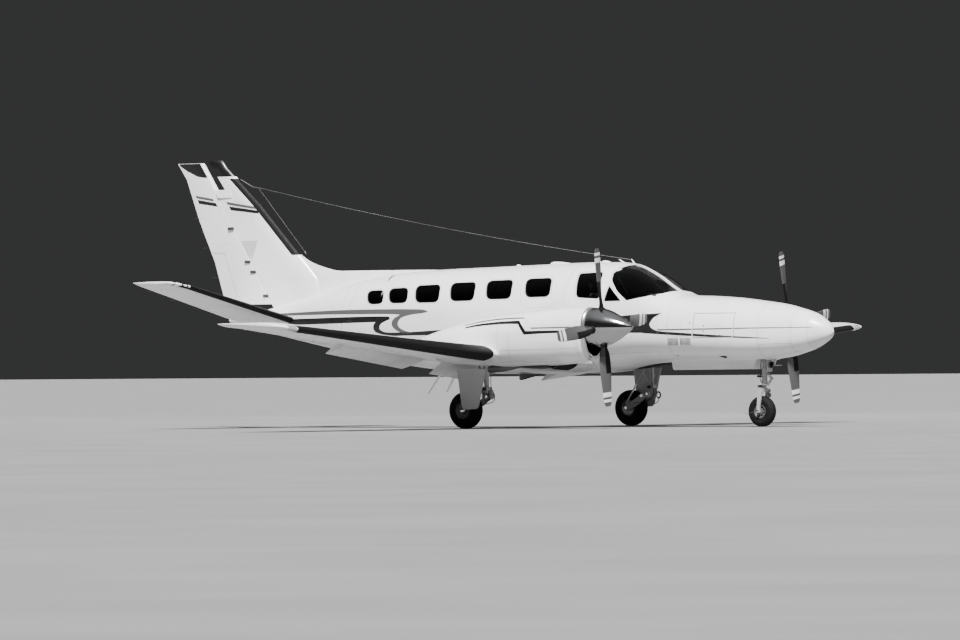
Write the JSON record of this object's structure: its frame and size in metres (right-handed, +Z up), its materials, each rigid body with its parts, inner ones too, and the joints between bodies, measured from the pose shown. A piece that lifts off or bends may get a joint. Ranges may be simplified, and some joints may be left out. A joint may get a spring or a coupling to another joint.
{
  "type": "twin turboprop aircraft",
  "caption": "Low-wing twin-engine turboprop aircraft on its landing gear, with hinged control surfaces, flaps, doors, turning propellers and wheels and a steered nose wheel.",
  "frame": {"origin": "centre of the bounding box in plan, on the ground under the tyres", "axes": "+X towards the nose, +Y to port, +Z up"},
  "size_m": [11.89, 15.04, 4.074],
  "materials": {
    "white_paint": "gloss",
    "radome_paint": "satin",
    "window_glass": "gloss",
    "carpet": "matte",
    "seat_leather": "satin",
    "panel_plastic": "matte",
    "engine_steel": "satin",
    "blade_paint": "satin",
    "polished_metal": "polished",
    "gear_paint": "satin",
    "tyre_rubber": "matte",
    "rim_metal": "satin"
  },
  "bodies": {
    "airframe": {"nose_cap": "radome_paint", "nose_section": "white_paint", "cabin_shell": "white_paint", "tail_cone": "white_paint", "fin": "white_paint", "tailplane": "white_paint", "wing_left": "white_paint", "wing_right": "white_paint", "cowl_left": "white_paint", "cowl_right": "white_paint", "engine_left": "engine_steel", "engine_right": "engine_steel", "cockpit_glass": "window_glass", "side_glass_left": "window_glass", "side_glass_right": "window_glass", "cabin_floor": "carpet", "cabin_seats": "seat_leather", "instrument_panel": "panel_plastic", "main_leg_left": "gear_paint", "main_leg_right": "gear_paint", "trailing_link_left": "gear_paint", "trailing_link_right": "gear_paint", "nose_leg": "gear_paint", "nose_gear_door_left": "white_paint", "nose_gear_door_right": "white_paint"},
    "prop_left": {"propeller_left": "blade_paint", "spinner_left": "polished_metal"},
    "prop_right": {"propeller_right": "blade_paint", "spinner_right": "polished_metal"},
    "main_wheel_left": {"main_tyre_left": "tyre_rubber", "main_rim_left": "rim_metal"},
    "main_wheel_right": {"main_tyre_right": "tyre_rubber", "main_rim_right": "rim_metal"},
    "nose_steer": {"nose_fork": "gear_paint"},
    "nose_wheel": {"nose_tyre": "tyre_rubber", "nose_rim": "rim_metal"},
    "rudder": {"rudder": "white_paint"},
    "elevator_left": {"elevator_left": "white_paint"},
    "elevator_right": {"elevator_right": "white_paint"},
    "aileron_left": {"aileron_left": "white_paint"},
    "aileron_right": {"aileron_right": "white_paint"},
    "flap_inner_left": {"flap_inner_left": "white_paint"},
    "flap_inner_right": {"flap_inner_right": "white_paint"},
    "flap_outer_left": {"flap_outer_left": "white_paint"},
    "flap_outer_right": {"flap_outer_right": "white_paint"},
    "door_upper": {"door_upper": "white_paint", "door_glass": "window_glass"},
    "door_lower": {"door_lower": "white_paint"},
    "bay_door_left": {"nose_bay_door_left": "white_paint"},
    "bay_door_right": {"nose_bay_door_right": "white_paint"}
  },
  "joints": [
    {"name": "prop_left_spin", "type": "hinge", "parent": "airframe", "child": "prop_left", "pos_m": [3.58, 2.446, 1.455], "axis": [1, 0, 0], "continuous": true},
    {"name": "prop_right_spin", "type": "hinge", "parent": "airframe", "child": "prop_right", "pos_m": [3.58, -2.446, 1.455], "axis": [1, 0, 0], "continuous": true},
    {"name": "main_wheel_left_spin", "type": "hinge", "parent": "airframe", "child": "main_wheel_left", "pos_m": [0.945, 2.14, 0.27], "axis": [0, 1, 0], "continuous": true},
    {"name": "main_wheel_right_spin", "type": "hinge", "parent": "airframe", "child": "main_wheel_right", "pos_m": [0.945, -2.14, 0.27], "axis": [0, 1, 0], "continuous": true},
    {"name": "nose_steering", "type": "hinge", "parent": "airframe", "child": "nose_steer", "pos_m": [4.745, 0, 0.62], "axis": [0.0603, 0, 0.9982], "range_deg": [-45, 45]},
    {"name": "nose_wheel_spin", "type": "hinge", "parent": "nose_steer", "child": "nose_wheel", "pos_m": [4.705, 0, 0.225], "axis": [0, 1, 0], "continuous": true},
    {"name": "rudder_hinge", "type": "hinge", "parent": "airframe", "child": "rudder", "pos_m": [-4.155, 0, 1.875], "axis": [-0.5263, 0, 0.8503], "range_deg": [-25, 25]},
    {"name": "elevator_left_hinge", "type": "hinge", "parent": "airframe", "child": "elevator_left", "pos_m": [-4.20469, 0.3, 1.62023], "axis": [-0.0103, 0.9781, 0.2078], "range_deg": [-15, 25]},
    {"name": "elevator_right_hinge", "type": "hinge", "parent": "airframe", "child": "elevator_right", "pos_m": [-4.22885, -2.6, 2.10876], "axis": [0.0103, 0.9781, -0.2078], "range_deg": [-15, 25]},
    {"name": "aileron_left_hinge", "type": "hinge", "parent": "airframe", "child": "aileron_left", "pos_m": [0.81472, 4.93, 1.28526], "axis": [0.0342, 0.9957, 0.0862], "range_deg": [-18, 18]},
    {"name": "aileron_right_hinge", "type": "hinge", "parent": "airframe", "child": "aileron_right", "pos_m": [0.88582, -7, 1.46448], "axis": [-0.0342, 0.9957, -0.0862], "range_deg": [-18, 18]},
    {"name": "flap_inner_left_hinge", "type": "hinge", "parent": "airframe", "child": "flap_inner_left", "pos_m": [0.65148, 0.84, 0.94663], "axis": [-0.0484, -0.9963, -0.0714], "range_deg": [-24, 11]},
    {"name": "flap_inner_right_hinge", "type": "hinge", "parent": "airframe", "child": "flap_inner_right", "pos_m": [0.71178, -2.08, 1.03554], "axis": [0.0484, -0.9963, 0.0714], "range_deg": [-24, 11]},
    {"name": "flap_outer_left_hinge", "type": "hinge", "parent": "airframe", "child": "flap_outer_left", "pos_m": [0.7431, 2.84, 1.09738], "axis": [-0.0341, -0.9954, -0.0895], "range_deg": [-24, 11]},
    {"name": "flap_outer_right_hinge", "type": "hinge", "parent": "airframe", "child": "flap_outer_right", "pos_m": [0.81369, -4.9, 1.28262], "axis": [0.0341, -0.9954, 0.0895], "range_deg": [-24, 11]},
    {"name": "door_upper_hinge", "type": "hinge", "parent": "airframe", "child": "door_upper", "pos_m": [-1.29, 0.49869, 2.156], "axis": [0.9978, 0.0664, 0], "range_deg": [0, 80]},
    {"name": "door_lower_hinge", "type": "hinge", "parent": "airframe", "child": "door_lower", "pos_m": [-1.29, 0.60409, 1.124], "axis": [-0.9952, -0.0979, 0], "range_deg": [0, 110]},
    {"name": "bay_door_left_hinge", "type": "hinge", "parent": "airframe", "child": "bay_door_left", "pos_m": [4.225, 0.49731, 1.656], "axis": [0.9866, -0.1629, 0], "range_deg": [0, 80]},
    {"name": "bay_door_right_hinge", "type": "hinge", "parent": "airframe", "child": "bay_door_right", "pos_m": [4.225, -0.49731, 1.656], "axis": [-0.9866, -0.1629, 0], "range_deg": [0, 80]}
  ],
  "couplings": [
    {"joint": "elevator_right_hinge", "follows": "elevator_left_hinge", "ratio": 1},
    {"joint": "aileron_right_hinge", "follows": "aileron_left_hinge", "ratio": -1},
    {"joint": "flap_inner_right_hinge", "follows": "flap_outer_left_hinge", "ratio": 1},
    {"joint": "flap_outer_right_hinge", "follows": "flap_outer_left_hinge", "ratio": 1},
    {"joint": "flap_inner_left_hinge", "follows": "flap_outer_left_hinge", "ratio": 1}
  ]
}
